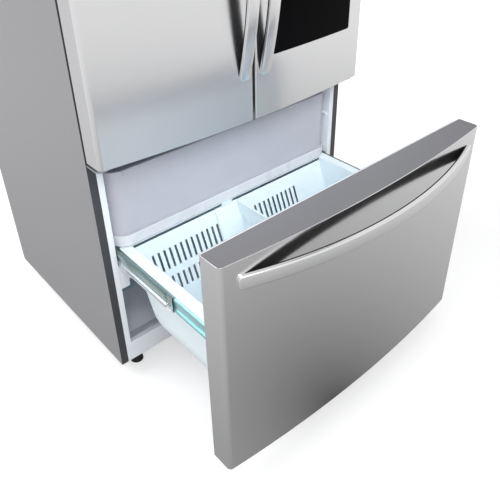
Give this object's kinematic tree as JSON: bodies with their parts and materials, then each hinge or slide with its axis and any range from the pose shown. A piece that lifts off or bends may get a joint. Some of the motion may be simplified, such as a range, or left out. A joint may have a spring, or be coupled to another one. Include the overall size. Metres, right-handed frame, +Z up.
{
  "type": "bottom freezer refrigerator",
  "caption": "Tall refrigerator with paired upper doors on side hinges and a freezer drawer below that runs out on telescopic rails and carries a slotted basket.",
  "frame": {"origin": "centre of the base of the bounding box, on the floor, with the freezer drawer open as at rest", "axes": "+X to the right seen from the front, +Y to the back, +Z up; the doors face -Y"},
  "size_m": [0.908, 1.2859, 1.772],
  "materials": {
    "stainless": "satin",
    "handle_steel": "satin",
    "case_paint": "satin",
    "zinc_steel": "satin",
    "rail_steel": "satin",
    "white_liner": "satin",
    "white_basket": "satin",
    "clear_plastic": "gloss",
    "clear_bin": "gloss",
    "cap_grey": "matte",
    "dark_grey": "satin",
    "grey_paint": "satin",
    "black_plastic": "matte",
    "black_paint": "satin",
    "seal": "matte",
    "foam": "matte",
    "shelf_glass": "gloss",
    "black_glass": "gloss",
    "aluminium": "satin",
    "lamp_lens": "matte",
    "foot_plastic": "matte"
  },
  "bodies": {
    "cabinet": {"outer_case": "case_paint", "back_panel": "zinc_steel", "machine_cover": "zinc_steel", "cabinet_foam": "foam", "fridge_liner": "white_liner", "freezer_liner": "white_liner", "base_frame": "zinc_steel", "compressor": "black_paint", "condenser": "aluminium", "evaporator": "aluminium", "evaporator_cover": "white_liner", "fridge_air_duct": "white_liner", "fridge_lamp": "lamp_lens", "shelf_top": "shelf_glass", "shelf_middle": "shelf_glass", "crisper_cover": "shelf_glass", "hinge_top_left": "dark_grey", "hinge_top_right": "dark_grey", "hinge_middle_left": "zinc_steel", "hinge_middle_right": "zinc_steel", "rail_outer_left": "rail_steel", "rail_outer_right": "rail_steel"},
    "left_door": {"left_door_shell": "stainless", "left_door_foam": "foam", "left_door_liner": "white_liner", "left_door_gasket": "seal", "left_door_handle": "handle_steel", "left_bin_lower": "clear_bin", "left_bin_upper": "clear_bin"},
    "right_door": {"right_door_shell": "stainless", "right_door_foam": "foam", "right_door_liner": "white_liner", "right_door_gasket": "seal", "right_door_handle": "handle_steel", "right_door_glass": "black_glass", "right_bin_lower": "clear_bin", "right_bin_upper": "clear_bin"},
    "centre_flap": {"centre_flap": "grey_paint"},
    "freezer_drawer": {"drawer_shell": "stainless", "drawer_foam": "foam", "drawer_liner": "white_liner", "drawer_gasket": "seal", "drawer_top_cap": "cap_grey", "drawer_bottom_cap": "cap_grey", "drawer_handle": "handle_steel", "basket": "white_basket", "rail_inner_left": "rail_steel", "rail_inner_right": "rail_steel"},
    "rails_middle": {"rail_middle_left": "rail_steel", "rail_middle_right": "rail_steel"},
    "divider": {"divider": "white_basket"},
    "clear_drawer": {"clear_drawer": "clear_plastic"},
    "crisper_left": {"crisper_left": "clear_bin"},
    "crisper_right": {"crisper_right": "clear_bin"},
    "foot_left": {"foot_left": "foot_plastic"},
    "foot_right": {"foot_right": "foot_plastic"},
    "roller_left": {"roller_left": "black_plastic"},
    "roller_right": {"roller_right": "black_plastic"},
    "condenser_fan": {"condenser_fan": "black_plastic"},
    "evaporator_fan": {"evaporator_fan": "black_plastic"}
  },
  "joints": [
    {"name": "left_door_hinge", "type": "hinge", "parent": "cabinet", "child": "left_door", "pos_m": [-0.434, -0.092, 0.745], "axis": [0, 0, -1], "range_deg": [0, 115]},
    {"name": "right_door_hinge", "type": "hinge", "parent": "cabinet", "child": "right_door", "pos_m": [0.434, -0.092, 0.745], "axis": [0, 0, 1], "range_deg": [0, 115]},
    {"name": "centre_flap_pivot", "type": "hinge", "parent": "left_door", "child": "centre_flap", "pos_m": [-0.03, -0.043, 0.8], "axis": [0, 0, 1], "range_deg": [0, 90]},
    {"name": "freezer_drawer_slide", "type": "slide", "parent": "cabinet", "child": "freezer_drawer", "axis": [0, -1, 0], "range_m": [-0.436, 0.03]},
    {"name": "rails_middle_slide", "type": "slide", "parent": "cabinet", "child": "rails_middle", "axis": [0, -1, 0], "range_m": [-0.2529, 0.0175]},
    {"name": "clear_drawer_slide", "type": "slide", "parent": "cabinet", "child": "clear_drawer", "axis": [0, -1, 0], "range_m": [-0.035, 0.0025]},
    {"name": "divider_slide", "type": "slide", "parent": "freezer_drawer", "child": "divider", "axis": [1, 0, 0], "range_m": [-0.15, 0.15]},
    {"name": "crisper_left_slide", "type": "slide", "parent": "cabinet", "child": "crisper_left", "axis": [0, -1, 0], "range_m": [0, 0.04]},
    {"name": "crisper_right_slide", "type": "slide", "parent": "cabinet", "child": "crisper_right", "axis": [0, -1, 0], "range_m": [0, 0.04]},
    {"name": "foot_left_turn", "type": "hinge", "parent": "cabinet", "child": "foot_left", "pos_m": [-0.387, -0.016, 0.03], "axis": [0, 0, 1], "continuous": true},
    {"name": "foot_right_turn", "type": "hinge", "parent": "cabinet", "child": "foot_right", "pos_m": [0.387, -0.016, 0.03], "axis": [0, 0, 1], "continuous": true},
    {"name": "roller_left_spin", "type": "hinge", "parent": "cabinet", "child": "roller_left", "pos_m": [-0.401, 0.588, 0.022], "axis": [1, 0, 0], "continuous": true},
    {"name": "roller_right_spin", "type": "hinge", "parent": "cabinet", "child": "roller_right", "pos_m": [0.401, 0.588, 0.022], "axis": [1, 0, 0], "continuous": true},
    {"name": "condenser_fan_spin", "type": "hinge", "parent": "cabinet", "child": "condenser_fan", "pos_m": [-0.04, 0.518, 0.16], "axis": [1, 0, 0], "continuous": true},
    {"name": "evaporator_fan_spin", "type": "hinge", "parent": "cabinet", "child": "evaporator_fan", "pos_m": [0, 0.563, 0.62], "axis": [0, 1, 0], "continuous": true}
  ],
  "couplings": [
    {"joint": "rails_middle_slide", "follows": "freezer_drawer_slide", "ratio": 0.58},
    {"joint": "clear_drawer_slide", "follows": "freezer_drawer_slide", "ratio": 0.08},
    {"joint": "centre_flap_pivot", "follows": "left_door_hinge", "ratio": 0.7825}
  ]
}
